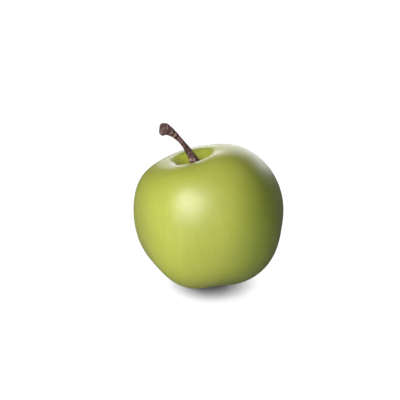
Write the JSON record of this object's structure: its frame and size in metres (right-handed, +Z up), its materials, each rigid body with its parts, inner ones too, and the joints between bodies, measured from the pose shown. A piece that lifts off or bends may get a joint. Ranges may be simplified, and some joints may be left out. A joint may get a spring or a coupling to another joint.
{
  "type": "apple",
  "caption": "Whole green apple, slightly lopsided, with a curved woody stem in its top hollow and a dried calyx in its base hollow. It stands on its base swellings.",
  "frame": {"origin": "on the surface the apple rests on, under the centre of its bounding box", "axes": "+Z up along the fruit's height, -Y the front, where the stem's bend is seen from the side, and the stem bends towards -X"},
  "size_m": [0.0752, 0.0798, 0.0821],
  "materials": {
    "green_skin": "smooth waxy satin",
    "stem_bark": "rough, dry, finely wrinkled",
    "dry_sepal": "dry and papery",
    "dry_stamen": "withered and dull"
  },
  "bodies": {
    "root": {"fruit": "green_skin", "stem": "stem_bark", "sepal_1": "dry_sepal", "sepal_2": "dry_sepal", "sepal_3": "dry_sepal", "sepal_4": "dry_sepal", "sepal_5": "dry_sepal", "stamens": "dry_stamen"}
  },
  "joints": []
}
